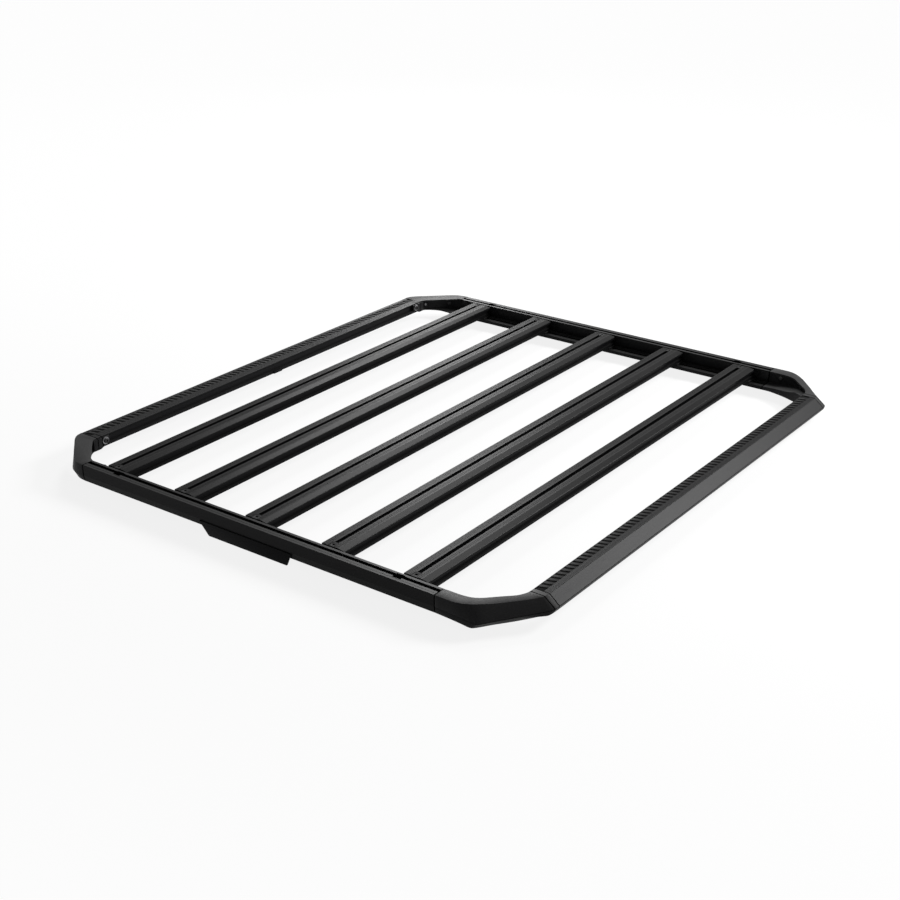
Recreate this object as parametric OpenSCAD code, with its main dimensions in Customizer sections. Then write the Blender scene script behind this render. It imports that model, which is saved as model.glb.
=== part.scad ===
// Flat platform rack for a vehicle roof: a frame of four extruded rails joined by cast corners,
// with five slotted slats across it.
// +X points to the front of the vehicle, +Y to its left and +Z up. The origin is at the middle
// of the footprint, level with the lowest edge of the two side plates.
// In the sections, u is measured inward from a rail's outer face and z up from its underside.

/* [Frame] */
// Length, from the rear face to the widest line of the front rail
rack_len = 1336; // [1200:1:1700]
// Width over the outer faces of the two side rails
rack_w = 1492; // [1300:1:1700]
// Height of the rails and corners
rail_h = 40; // [38:0.5:48]
// Wall thickness of the extrusions
wall = 2.5; // [2:0.1:3]

/* [Side rails] */
// Width of the top of a side rail
side_top_w = 30.5; // [29:0.5:36]
// Width of the plain strip outside the top slot
side_slot_u = 14; // [12:0.5:15]
// Width of the slots' mouths
slot_w = 10; // [9:0.1:11]
// Overall width of the bottom flange
flange_w = 68; // [64:1:76]
// Height of the bottom flange
flange_h = 9.4; // [8.5:0.1:11]
// Depth of the outer face that is upright, from the top down
face_h = 26; // [22:0.5:30]
// Lean of the band below that face
band_lean = 2; // [1:0.1:3]
// Distance of each bolt entry from the middle of the rail
entry_offset = 398; // [300:1:420]
// Length of a bolt entry
entry_len = 21; // [16:1:30]
// Radius of the foot bolt holes in the flange
foot_hole_r = 4.5; // [3:0.1:5]
// Distance of the foot bolt holes from the ends of the side rail
foot_hole_inset = 34; // [20:1:40]
// Distance of the foot bolt holes from the outer face
foot_hole_u = 34.5; // [34:0.5:36]

/* [Slats] */
// Width of a slat
slat_w = 60; // [54:1:70]
// Height of a slat
slat_h = 26; // [24:0.5:27]
// Distance of the first slat's middle from the rear end of the side rail
slat_rear_inset = 76.3; // [60:0.1:120]
// Distance of the last slat's middle from the front end of the side rail
slat_front_inset = 71.2; // [60:0.1:120]
// Distance of the slot's middle from the slat's rear edge
slat_slot_c = 24.5; // [23:0.5:26]
// Width of the level part of the slat's top
slat_flat_w = 45; // [42:1:48]
// Fall of the sloping part of the slat's top
slat_fall = 2.6; // [1.5:0.1:4]
// Gap between a slat's end and the side rail
slat_end_gap = 5; // [3:0.5:10]

/* [End rails] */
// Width of the top of the front rail
front_top_w = 34.6; // [32:0.5:45]
// Reach of the front rail's sloping face past its top
front_bulge = 23.3; // [15:0.1:26]
// Depth of the sloping face, from the top down to the widest line
front_face_h = 20; // [17:0.5:22]
// Width of the top of the rear rail
rear_top_w = 54; // [50:1:70]
// Thickness of the front rail's inner top edge
end_edge_h = 11; // [8:0.5:13]
// Bottom of the groove along the inner side of the front rail, from the top down
end_groove_bottom = 25; // [22:0.5:28]
// Thickness of the lip above the rear rail's groove
rear_lip_h = 3; // [2.5:0.1:4]
// Bottom of the rear rail's groove, from the top down
rear_groove_bottom = 20; // [18:0.5:22]
// Height of the inner side of the rear rail
rear_inner_h = 28; // [26:0.5:30]

/* [Tread strips] */
// Width of the front tread strip
front_tread_w = 20.2; // [16:0.1:26]
// Width of the rear tread strip
rear_tread_w = 21; // [16:0.5:28]
// Distance from the rear face to the rear tread strip
rear_tread_u = 10; // [6:0.5:14]
// Distance between two tread bars
bar_pitch = 16; // [12:0.5:24]
// Height of a tread bar over its base
bar_h = 1.4; // [0.8:0.1:1.8]
// Thickness of the base under the bars
tread_base_h = 1.1; // [0.8:0.1:1.6]

/* [Corners] */
// Length of a rear corner along the side rail
rear_corner_len = 143; // [140:1:160]
// Length of a front corner along the side rail
front_corner_len = 197; // [194:1:210]
// Length of a rear corner along the rear rail
rear_corner_w = 121; // [118:1:140]
// Length of a front corner along the front rail
front_corner_w = 135; // [132:1:150]
// Thickness of the castings' top flange
cast_top_h = 5; // [4:0.5:7]
// Thickness of the tongues over the end rails
tongue_t = 4; // [3:0.5:6]

/* [Side plates] */
// Drop of the side plate below the rail
plate_drop = 18; // [10:0.5:30]
// Thickness of the side plate
plate_t = 2.5; // [1.5:0.1:3]
// Length of the side plate's bottom edge
plate_len = 223.4; // [180:0.1:300]

/* [Hidden] */

RIGHT = -1;
LEFT = 1;
REAR = -1;
FRONT = 1;

alu = [0.16, 0.16, 0.17];
cast = [0.2, 0.2, 0.21];
rubber = [0.1, 0.1, 0.1];
steel = [0.6, 0.6, 0.62];
// Overshoot of a cut past the face that it opens
cut = 1;

top_z = plate_drop + rail_h;
half_len = rack_len / 2;
half_w = rack_w / 2;
side_x0 = rear_corner_len - half_len;
side_x1 = half_len - front_corner_len;
side_len = side_x1 - side_x0;
side_mid = (side_x0 + side_x1) / 2;

// Every slot has lips of one wall and a channel below them
slot_depth = 8.5;
channel_side = 4;
web_u = side_top_w - 2;
channel_u0 = side_slot_u - channel_side - 1;
channel_u1 = web_u - wall;
channel_z = rail_h - wall - slot_depth;
flange_slot_u = 46.5;
flange_slot_w = 8.5;
flange_skin = 2;
flange_channel_side = 4.5;

slat_pitch = (side_len - slat_rear_inset - slat_front_inset) / 4;
slat_half_len = half_w - side_top_w - slat_end_gap;
slat_z = top_z - slat_h;
slat_side_groove = 4.5;
rib_w = 0.8;
rib_h = 0.4;
rib_pitch = 4;
front_rib_pitch = 2.6;

// The key is the widened end of a slat's slot, filled by a plug
key_w = 17;
key_len = 19;
plug_gap = 0.3;
foot_t = slat_z - plate_drop - flange_h;
foot_len = 34;
foot_side = 3;

front_inner = front_top_w + front_bulge;
// Reach of the front rail's top past the wall below it
front_lip = 12;
front_wall_d = front_inner - front_lip;
// Way back from the front rail's widest line to its lip and to its underside
lip_back = 4;
under_back = 16;
// Half the height of the groove along the front's widest line, and its depth
notch_half = 0.8;
notch_depth = 1.2;
front_groove_d = 8;
rear_groove_d = 6;
rear_wall_d = rear_top_w - rear_groove_d;
rear_skirt_w = 12;
tread_h = tread_base_h + bar_h;
front_tread_half = half_w - front_corner_w - 0.5;
rear_tread_half = half_w - rear_corner_w - 0.5;
bar_slant = 7;
bar_gap = 5;

bolt_head_r = 6.5;
bolt_head_h = 4;
washer_r = 9;
washer_t = 1.6;
bolt_r = 3;
bolt_clearance = 0.3;
// Tongue over the joint with an end rail: its length, and its bolt's place past the joint and
// below the top
front_tongue_len = 50;
front_tongue_bolt = [36, 24];
rear_tongue_len = 34;
rear_tongue_bolt = [22, 12];
tongue_gap = 0.3;
// Open joint between a corner and the end of a rail
joint_gap = 0.8;
side_tongue_t = 3;
wall_head_r = 5;
wall_head_h = 3;
wall_bolt_len = 8;
cast_t = 3.5;
// Reach of a tongue's or a seat's root into its wall
root = 2;
// Raised seat of a bolt on a corner's wall
boss_h = 0.8;
boss_margin = 1.2;

plate_top_v = 28.5;
plate_x0 = -129;
plate_rear_run = 28.5;
plate_front_run = 11.3;
plate_leg = 45;

// Moves a section drawn in (u, z) to a side rail, so that it runs along X from x0 to x1
module along_side(side, x0, x1) {
    mirror([0, side == LEFT ? 1 : 0, 0])
        translate([x0, -half_w, plate_drop])
            rotate([90, 0, 90]) linear_extrude(x1 - x0) children();
}

// Moves a section drawn in (x, z) so that it runs along Y from one side to the other
module along_y(x0, z0, half) {
    translate([x0, half, z0]) rotate([90, 0, 0]) linear_extrude(2 * half) children();
}

// Places a corner's own frame: X runs in from the end face, Y in from the side face, Z up
module at_corner(end, side) {
    translate([end * half_len, side * half_w, plate_drop])
        mirror([end == FRONT ? 1 : 0, 0, 0]) mirror([0, side == LEFT ? 1 : 0, 0]) children();
}

// Rings of points joined into a closed solid: each ring runs clockwise seen from the last one.
// The ends are closed by the faces in caps, which are lists of places on a ring.
module loft(rings, caps) {
    n = len(rings[0]);
    last = (len(rings) - 1) * n;
    points = [for (ring = rings) each ring];
    faces = concat(
        [for (cap = caps) reversed(cap)],
        [for (cap = caps) [for (i = cap) last + i]],
        [for (k = [0:len(rings) - 2], i = [0:n - 1]) each [
            [k * n + i, k * n + (i + 1) % n, (k + 1) * n + (i + 1) % n],
            [k * n + i, (k + 1) * n + (i + 1) % n, (k + 1) * n + i]
        ]]
    );
    polyhedron(points, faces);
}

function reversed(list) = [for (i = [len(list) - 1:-1:0]) list[i]];

module side_rail_section() {
    band_h = rail_h - face_h;
    difference() {
        polygon([
            [band_lean, 0], [flange_w, 0], [flange_w, flange_h], [web_u, flange_h],
            [web_u, rail_h - wall], [side_top_w, rail_h - wall], [side_top_w, rail_h],
            [0.6, rail_h], [0, rail_h - 0.6], [0, band_h]
        ]);
        // Slot mouth and the channel below it
        translate([side_slot_u, channel_z]) square([slot_w, wall + slot_depth + cut]);
        translate([channel_u0, channel_z]) square([channel_u1 - channel_u0, slot_depth]);
        // Fine line along the outer strip
        translate([(side_slot_u - rib_w) / 2, rail_h - rib_h]) square([rib_w, rib_h + cut]);
        // Hollow below the channel
        polygon([
            [wall, channel_z - wall], [wall, band_h], [wall + band_lean, wall],
            [channel_u1, wall], [channel_u1, channel_z - wall]
        ]);
        // Hollow beside the channel
        translate([wall, channel_z]) square([channel_u0 - 2 * wall, slot_depth]);
        // Hollow and slot of the flange
        translate([web_u, flange_skin])
            square([flange_slot_u - flange_channel_side - flange_skin - web_u,
                    flange_h - 2 * flange_skin]);
        translate([flange_slot_u - flange_channel_side, flange_skin])
            square([flange_slot_w + 2 * flange_channel_side, flange_h - 2 * flange_skin]);
        translate([flange_slot_u, flange_h / 2]) square([flange_slot_w, flange_h]);
    }
}

module side_rail(side) {
    color(alu) difference() {
        along_side(side, side_x0 + joint_gap, side_x1 - joint_gap) side_rail_section();
        for (dx = [-entry_offset, entry_offset])
            along_side(side, side_mid + dx - entry_len / 2, side_mid + dx + entry_len / 2)
                translate([channel_u0, channel_z])
                    square([channel_u1 - channel_u0, slot_depth + wall + cut]);
        for (x = [side_x0 + foot_hole_inset, side_x1 - foot_hole_inset])
            translate([x, side * (half_w - foot_hole_u), plate_drop - cut])
                cylinder(r = foot_hole_r, h = flange_h + 2 * cut, $fn = 48);
    }
}

// Slat section, from its rear edge forward
module slat_section() {
    groove_z0 = 7;
    groove_z1 = 17;
    step = slat_side_groove;
    channel_half = slot_w / 2 + channel_side;
    floor_z = slat_h - wall - slot_depth;
    rear_x = slat_slot_c - channel_half - wall;
    front_x = slat_slot_c + channel_half + wall;
    far_x = slat_w - step - wall;
    fall_x = slat_w - slat_flat_w;
    difference() {
        polygon([
            [0.6, 0], [slat_w - 0.6, 0], [slat_w, 0.6], [slat_w, groove_z0],
            [slat_w - step, groove_z0], [slat_w - step, groove_z1],
            [slat_w, groove_z1], [slat_w, slat_h - slat_fall - 1], [slat_w - 1, slat_h - slat_fall],
            [slat_flat_w, slat_h], [1.5, slat_h], [0.4, slat_h - 0.5], [0, slat_h - 1.8],
            [0, groove_z1], [step, groove_z1], [step, groove_z0], [0, groove_z0], [0, 0.6]
        ]);
        translate([slat_slot_c - slot_w / 2, floor_z]) square([slot_w, slot_depth + wall + cut]);
        translate([slat_slot_c - channel_half, floor_z]) square([2 * channel_half, slot_depth]);
        translate([rear_x + wall, wall]) square([2 * channel_half, floor_z - 2 * wall]);
        translate([step + wall, wall]) square([rear_x - step - wall, slat_h - 2 * wall]);
        polygon([
            [front_x, wall], [far_x, wall],
            [far_x, slat_h - wall - slat_fall * (far_x - slat_flat_w) / fall_x],
            [slat_flat_w, slat_h - wall], [front_x, slat_h - wall]
        ]);
        // Fine ribs on the level strips
        for (x = [5:rib_pitch:rear_x + 1]) translate([x, slat_h - rib_h]) square([rib_w, rib_h + cut]);
        for (x = [front_x - 1:rib_pitch:slat_flat_w - 3])
            translate([x, slat_h - rib_h]) square([rib_w, rib_h + cut]);
    }
}

function slat_x(i) = side_x0 + slat_rear_inset + (i - 1) * slat_pitch - slat_w / 2;

// Outline of the key in plan: open at the slat's end and tapered into the slot
module key_outline(gap, reach) {
    taper = (key_w - slot_w) / 2;
    w = key_w / 2 - gap;
    s = slot_w / 2 - gap;
    l = key_len - taper - gap;
    polygon([[-w, -reach], [w, -reach], [w, l], [s, l + taper], [-s, l + taper], [-w, l]]);
}

module slat(i) {
    color(alu) difference() {
        along_y(slat_x(i), slat_z, slat_half_len) slat_section();
        for (side = [RIGHT, LEFT])
            translate([slat_x(i) + slat_slot_c, side * slat_half_len, top_z - wall - cut])
                mirror([0, side == LEFT ? 1 : 0, 0])
                    linear_extrude(wall + 2 * cut) key_outline(0, cut);
    }
}

// Plug in each end of a slat's slot: a stepped block with a recessed clamp screw
module slat_plugs(i) {
    head = 3;
    body_w = slot_w + 2 * channel_side - 2 * plug_gap;
    color(rubber) for (side = [RIGHT, LEFT])
        translate([slat_x(i) + slat_slot_c, side * slat_half_len, top_z - wall - slot_depth])
            mirror([0, side == LEFT ? 1 : 0, 0]) difference() {
                union() {
                    linear_extrude(slot_depth + wall - 0.6) key_outline(plug_gap, 0);
                    translate([-body_w / 2, 0, 0])
                        cube([body_w, key_len - 4, slot_depth - plug_gap]);
                }
                translate([0, key_len / 2 - 1, slot_depth - 1])
                    cylinder(r = head, h = wall + slot_depth, $fn = 32);
            }
}

// Foot plate that seats each end of a slat on the side rail's flange
module slat_feet(i) {
    inner = side_top_w + slat_end_gap + 1;
    color(steel) for (side = [RIGHT, LEFT])
        mirror([0, side == LEFT ? 1 : 0, 0])
            translate([slat_x(i) - foot_side, inner - half_w, plate_drop + flange_h])
                cube([slat_w + 2 * foot_side, foot_len - foot_side, foot_t]);
}

function front_inner_x() = half_len - front_inner;

// Front rail section, forward from the inner edge of its top
module front_rail_section() {
    groove_z = rail_h - end_groove_bottom;
    edge_z = rail_h - end_edge_h;
    low_x = front_inner - front_wall_d;
    in_x = low_x + front_groove_d;
    face_z = rail_h - front_face_h;
    lip_x = front_inner - lip_back;
    under_x = front_inner - under_back;
    recess = [1, front_tread_w + 1];
    difference() {
        polygon([
            [low_x, 0], [under_x, 0], [lip_x, face_z / 2], [front_inner, face_z - notch_half],
            [front_inner - notch_depth, face_z - notch_half],
            [front_inner - notch_depth, face_z + notch_half], [front_inner, face_z + notch_half],
            [front_top_w + 0.6, rail_h - 0.5], [front_top_w - 0.4, rail_h],
            [0, rail_h], [0, edge_z], [in_x, edge_z], [in_x, groove_z], [low_x, groove_z]
        ]);
        translate([recess[0], rail_h - tread_h]) square([front_tread_w, tread_h + cut]);
        // Lines of the ribbed strip between the tread and the crest
        for (x = [recess[1] + 1.4, for (k = [1:3]) front_top_w - rib_w - k * front_rib_pitch])
            translate([x, rail_h - rib_h]) square([rib_w, rib_h + cut]);
        // Lower hollow
        polygon([
            [low_x + wall, wall], [under_x - 1, wall], [lip_x - 2, face_z / 2 + 1.5],
            [front_inner - wall - 1.2, groove_z + wall],
            [in_x + wall, groove_z + wall], [in_x + wall, groove_z - wall],
            [low_x + wall, groove_z - wall]
        ]);
        // Upper hollow
        polygon([
            [in_x + wall, groove_z + 2 * wall], [front_inner - wall - 1.6, groove_z + 2 * wall],
            [front_top_w - 1, rail_h - tread_h - wall], [wall, rail_h - tread_h - wall],
            [wall, edge_z + wall], [in_x + wall, edge_z + wall]
        ]);
    }
}

module front_rail() {
    end_y = half_w - front_corner_w;
    color(alu) difference() {
        along_y(front_inner_x(), plate_drop, end_y - joint_gap) front_rail_section();
        for (side = [RIGHT, LEFT])
            translate([half_len - front_wall_d - cut, side * (end_y - front_tongue_bolt[0]),
                       top_z - front_tongue_bolt[1]])
                rotate([0, 90, 0])
                    cylinder(r = bolt_r + bolt_clearance, h = front_groove_d + wall + 2 * cut,
                             $fn = 32);
    }
}

// Rear rail section, forward from its outer face
module rear_rail_section() {
    lip_z = rail_h - rear_lip_h;
    groove_z = rail_h - rear_groove_bottom;
    under_z = rail_h - rear_inner_h;
    roof_z = rail_h - tread_h - wall;
    difference() {
        polygon([
            [0.8, 0], [rear_skirt_w - 0.8, 0], [rear_skirt_w, 0.8], [rear_skirt_w, under_z],
            [rear_top_w, under_z], [rear_top_w, groove_z], [rear_wall_d, groove_z],
            [rear_wall_d, lip_z], [rear_top_w, lip_z], [rear_top_w, rail_h - 0.6],
            [rear_top_w - 0.6, rail_h], [1.2, rail_h], [0, rail_h - 1.2], [0, 0.8]
        ]);
        translate([rear_tread_u, rail_h - tread_h]) square([rear_tread_w, tread_h + cut]);
        // Lines of the ribbed strip inside the tread
        for (x = [rear_tread_u + rear_tread_w + 1.6:rib_pitch:rear_top_w - 5])
            translate([x, rail_h - rib_h]) square([rib_w, rib_h + cut]);
        // Hollows of the skirt and of the body
        translate([wall, wall]) square([rear_skirt_w - 2 * wall, under_z - wall]);
        translate([wall, under_z + wall])
            square([rear_wall_d - 2 * wall, roof_z - under_z - wall]);
    }
}

module rear_rail() {
    end_y = half_w - rear_corner_w;
    color(alu) difference() {
        along_y(-half_len, plate_drop, end_y - joint_gap) rear_rail_section();
        for (side = [RIGHT, LEFT])
            translate([rear_wall_d - half_len - wall - cut,
                       side * (end_y - rear_tongue_bolt[0]), top_z - rear_tongue_bolt[1]])
                rotate([0, 90, 0])
                    cylinder(r = bolt_r + bolt_clearance, h = wall + 2 * cut, $fn = 32);
    }
}

// Tread strip: a base with slanted bars, thick towards the rear and thin towards the front
module tread(x0, width, half) {
    thick = bar_pitch - bar_gap;
    thin = thick * 0.6;
    first = -half + bar_slant / 2;
    count = floor((2 * half - bar_slant) / bar_pitch);
    margin = (2 * half - bar_slant - (count - 1) * bar_pitch - thick) / 2;
    translate([x0, 0, top_z - tread_h]) {
        translate([0, -half, 0]) cube([width, 2 * half, tread_base_h]);
        linear_extrude(tread_h)
            for (k = [0:count - 1]) {
                y = margin - half + k * bar_pitch;
                polygon([
                    [0, y], [width, y + bar_slant],
                    [width, y + bar_slant + thin], [0, y + thick]
                ]);
            }
    }
}

module front_tread() {
    color(rubber) tread(front_inner_x() + 1, front_tread_w, front_tread_half);
}

module rear_tread() {
    color(rubber) tread(rear_tread_u - half_len, rear_tread_w, rear_tread_half);
}

// Lines that a corner's section follows, from the side rail round to the end rail. Each point is
// the distance from the rack's end and that from the side rail's outer face, as shares of the
// corner's length and width. The first and last points are those of the rails that they meet.
front_lines = [
    // Crest, widest line, lip, lower edge, inner wall, edge of the top flange, edge of the ledge
    [[0.811, 0], [0.825, 0], [0.819, 0], [0.812, 0],
     [0.812, 0.214], [0.823, 0.229], [0.903, 0.506]],
    [[0.721, 0.024], [0.66, -0.009], [0.663, -0.009], [0.666, -0.009],
     [0.729, 0.215], [0.746, 0.239], [0.823, 0.53]],
    [[0.635, 0.084], [0.528, -0.007], [0.55, -0.009], [0.572, -0.011],
     [0.65, 0.238], [0.67, 0.267], [0.731, 0.567]],
    [[0.53, 0.208], [0.477, 0.019], [0.499, 0.03], [0.521, 0.041],
     [0.564, 0.299], [0.594, 0.337], [0.639, 0.614]],
    [[0.427, 0.365], [0.378, 0.204], [0.4, 0.216], [0.423, 0.228],
     [0.467, 0.432], [0.503, 0.47], [0.553, 0.667]],
    [[0.337, 0.519], [0.295, 0.357], [0.316, 0.366], [0.338, 0.374],
     [0.396, 0.531], [0.429, 0.578], [0.512, 0.696]],
    [[0.245, 0.677], [0.212, 0.507], [0.235, 0.52], [0.259, 0.533],
     [0.325, 0.631], [0.355, 0.685], [0.47, 0.726]],
    [[0.17, 0.81], [0.066, 0.766], [0.085, 0.73], [0.142, 0.8],
     [0.273, 0.763], [0.313, 0.793], [0.385, 0.804]],
    [[0.133, 0.884], [0.008, 0.881], [0.032, 0.817], [0.112, 0.904],
     [0.249, 0.881], [0.296, 0.881], [0.319, 0.881]]
];
rear_lines = [
    // The same without a lip
    [[0.867, 0.017], [0.867, 0], [0.881, 0.033], [0.93, 0.24], [0.965, 0.252],
     [0.93, 0.62]],
    [[0.762, 0.05], [0.755, 0.025], [0.783, 0.074], [0.888, 0.245], [0.93, 0.264],
     [0.867, 0.603]],
    [[0.664, 0.124], [0.65, 0.091], [0.685, 0.149], [0.832, 0.273], [0.881, 0.321],
     [0.783, 0.595]],
    [[0.563, 0.231], [0.545, 0.198], [0.587, 0.256], [0.727, 0.388], [0.776, 0.442],
     [0.685, 0.591]],
    [[0.413, 0.393], [0.399, 0.36], [0.441, 0.417], [0.598, 0.533], [0.65, 0.58],
     [0.587, 0.624]],
    [[0.266, 0.554], [0.252, 0.521], [0.294, 0.579], [0.483, 0.661], [0.524, 0.722],
     [0.5, 0.694]],
    [[0.154, 0.669], [0.14, 0.636], [0.182, 0.694], [0.406, 0.769], [0.455, 0.802],
     [0.437, 0.777]],
    [[0.063, 0.785], [0.049, 0.76], [0.084, 0.81], [0.371, 0.851], [0.399, 0.874],
     [0.402, 0.86]],
    [[0.014, 0.893], [0.007, 0.884], [0.028, 0.909], [0.364, 0.926], [0.378, 0.926],
     [0.392, 0.926]]
];
// Height of the ledge's top over the flange of the side rail, as shares of the rail's height
front_rise = [0.002, 0.03, 0.08, 0.13, 0.2, 0.3, 0.37, 0.44, 0.45, 0.45, 0.45];
rear_rise = [0.002, 0.01, 0.01, 0.01, 0.01, 0.02, 0.03, 0.05, 0.08, 0.1, 0.1];
// Height of the underside of a rear corner's ledge there, as shares of the rail's height
rear_under = [0, 0.12, 0.15, 0.15, 0.15, 0.16, 0.18, 0.21, 0.24, 0.25, 0.25];
// Heights of a front corner's crest and lower edge there, as shares of the rail's height, and of
// its widest line, as shares of that line's height on the front rail
front_crest_z = [1, 1, 0.998, 0.975, 0.963, 0.933, 0.94, 0.943, 0.96, 0.995, 1];
front_lower_z = [0, 0, -0.025, -0.05, -0.05, -0.025, 0, 0, 0, 0, 0];
front_widest_z = [0.6, 0.55, 0.475, 0.495, 0.575, 0.64, 0.72, 0.86, 0.96, 1];
// Way inward across the wall at each of those points, in degrees from the side to the end
wall_turn = [0, 6, 18, 34, 46, 50, 50, 54, 64, 78, 90];
// Steps between two of those points
line_steps = 3;
// Reach of the inner wall past the side rail's web, and of the wall and the ledge past the
// front rail's wall
web_reach = 1;
wall_reach = 2;
ledge_reach = 7;
// Way back from the edge of the rear rail's top to a corner's wall, and out to its ledge
rear_wall_back = 2;
rear_ledge_out = 2;

// Point of a smooth line through p1 and p2, between its neighbours p0 and p3
function on_curve(p0, p1, p2, p3, t) =
    (2 * p1 + (p2 - p0) * t + (2 * p0 - 5 * p1 + 4 * p2 - p3) * t * t
     + (3 * p1 - p0 - 3 * p2 + p3) * t * t * t) / 2;

function smoothed(line) = let (n = len(line)) [
    for (i = [0:n - 2], k = [0:line_steps - 1])
        on_curve(i > 0 ? line[i - 1] : 2 * line[0] - line[1], line[i], line[i + 1],
                 i < n - 2 ? line[i + 2] : 2 * line[n - 1] - line[n - 2], k / line_steps),
    line[n - 1]
];

function tongue_d(end) = end == FRONT ? front_wall_d : rear_top_w;
function tongue_bolt(end) = end == FRONT ? front_tongue_bolt : rear_tongue_bolt;
// Depth of the rail's wall behind the tongue
function behind_tongue(end) = end == FRONT ? 0 : rear_groove_d;
function end_corner_w(end) = end == FRONT ? front_corner_w : rear_corner_w;
function end_corner_len(end) = end == FRONT ? front_corner_len : rear_corner_len;

// A line of a corner at height z, or at a list of heights: its column, and its two ends
function corner_line(end, column, first_s, last_d, z) =
    let (shares = end == FRONT ? front_lines : rear_lines, n = len(shares) + 2,
         heights = is_list(z) ? z : [for (i = [1:n]) z])
    [for (i = [0:n - 1])
        i == 0 ? [end_corner_len(end), first_s, heights[i]]
        : i == n - 1 ? [last_d, end_corner_w(end), heights[i]]
        : [shares[i - 1][column][0] * end_corner_len(end),
           shares[i - 1][column][1] * end_corner_w(end), heights[i]]];

// A line moved inward by a distance, or by a list of distances
function inward(line, by) = [
    for (i = [0:len(line) - 1])
        let (d = is_list(by) ? by[i] : by)
            line[i] + [d * sin(wall_turn[i]), d * cos(wall_turn[i]), 0]
];

function crest(end, z) = corner_line(end, 0, 0, end == FRONT ? front_bulge : 0, z);
function widest(end, z) = corner_line(end, 1, 0, 0, z);
function lip(z) = corner_line(FRONT, 2, band_lean / 2, lip_back, z);
function lower(end, z) = end == FRONT
    ? corner_line(end, 3, band_lean, under_back, z) : corner_line(end, 2, band_lean, 0.8, z);
function inner_wall(end, z) = end == FRONT
    ? corner_line(end, 4, web_u + web_reach, front_wall_d + wall_reach, z)
    : corner_line(end, 3, web_u + web_reach, rear_top_w - rear_wall_back, z);
function flange_edge(end, z) = corner_line(
    end, end == FRONT ? 5 : 4, side_top_w, end == FRONT ? front_inner : rear_top_w, z);
function ledge_edge(end, z) = end == FRONT
    ? corner_line(end, 6, flange_w, front_wall_d + ledge_reach, z)
    : corner_line(end, 5, flange_w, rear_top_w + rear_ledge_out, z);

// A casting: a wall with a hollow that is open from below, a top flange, and a ledge that rises
// from the side rail's flange to the end rail
module corner_body(end) {
    n = len(wall_turn);
    side_face_z = rail_h - face_h;
    front_face_z = rail_h - front_face_h;
    roof_z = rail_h - cast_top_h;
    ledge_z = [for (r = end == FRONT ? front_rise : rear_rise) flange_h + r * rail_h];
    top = end == FRONT ? front_crest_z * rail_h : rail_h;
    bottom = end == FRONT ? front_lower_z * rail_h : 0;
    under = end == FRONT ? 0 : rear_under * rail_h;
    mid = [for (i = [0:n - 1])
        end == REAR || i == 0 ? side_face_z : front_widest_z[i - 1] * front_face_z];
    below = [for (i = [0:n - 1]) mid[i] - notch_half];
    above = [for (i = [0:n - 1]) mid[i] + notch_half];
    deepen = [for (i = [0:n - 1]) notch_depth * min(1, 0.1 + i / 5)];
    face = end == FRONT
        ? [lip(mid / 2), widest(end, below), inward(widest(end, below), deepen),
           inward(widest(end, above), deepen), widest(end, above)]
        : [widest(end, mid)];
    lines = concat(
        [lower(end, bottom)], face,
        [crest(end, top), flange_edge(end, rail_h), flange_edge(end, roof_z),
         inner_wall(end, roof_z), inner_wall(end, ledge_z), ledge_edge(end, ledge_z),
         ledge_edge(end, under), inward(inner_wall(end, under), -cast_t),
         inward(inner_wall(end, roof_z), -cast_t), inward(crest(end, roof_z), cast_t),
         inward(widest(end, mid), cast_t), inward(lower(end, bottom), cast_t)]
    );
    curves = reversed([for (line = lines) smoothed(line)]);
    // The section's end is closed piece by piece: outer wall, roof, inner wall and ledge
    m = len(face);
    outer = m == 1
        ? [[0, 1, m + 11, m + 12], [1, 2, m + 10, m + 11]]
        : [[0, 1, m + 12], [1, 2, 3, m + 12], [3, m + 11, m + 12], [3, 4, m + 11],
           [4, 5, 6, m + 10], [4, m + 10, m + 11]];
    caps = concat(outer, [
        [m + 1, m + 2, m + 3, m + 4], [m + 1, m + 4, m + 9], [m + 1, m + 9, m + 10],
        [m + 4, m + 5, m + 8, m + 9], [m + 5, m + 6, m + 7, m + 8]
    ]);
    loft([for (i = [0:len(curves[0]) - 1]) [for (curve = curves) curve[i]]],
         [for (cap = caps) [for (i = reversed(cap)) len(lines) - 1 - i]]);
}

// Tongue of a front corner, in the groove of the front rail, with the lower end cut off
module front_tongue() {
    top = rail_h - end_edge_h - tongue_gap;
    lap = 14;
    slope_s = 24;
    slope_z = 14;
    lift = 0.5;
    translate([front_wall_d + tongue_gap, front_corner_w, 0]) rotate([90, 0, 90])
        linear_extrude(tongue_t - tongue_gap) polygon([
            [-lap, lift], [slope_s, lift], [front_tongue_len, slope_z],
            [front_tongue_len, top], [-lap, top]
        ]);
}

// Tongue of a rear corner, over the lips of the rear rail, with the lower end cut off
module rear_tongue() {
    top = rail_h - 2.5;
    lap = 13;
    slope_s = 7;
    slope_z = 22;
    bottom = 10.5;
    translate([rear_top_w + tongue_gap, rear_corner_w, 0]) rotate([90, 0, 90])
        linear_extrude(tongue_t - tongue_gap) polygon([
            [-tongue_gap, bottom], [slope_s, bottom], [rear_tongue_len, slope_z],
            [rear_tongue_len, top], [-tongue_gap, top]
        ]);
    // Root, which runs back into the corner's wall
    translate([rear_top_w - rear_wall_back - root, rear_corner_w - lap, bottom])
        cube([rear_wall_back + root + tongue_t, lap - tongue_gap, top - bottom]);
}

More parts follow.
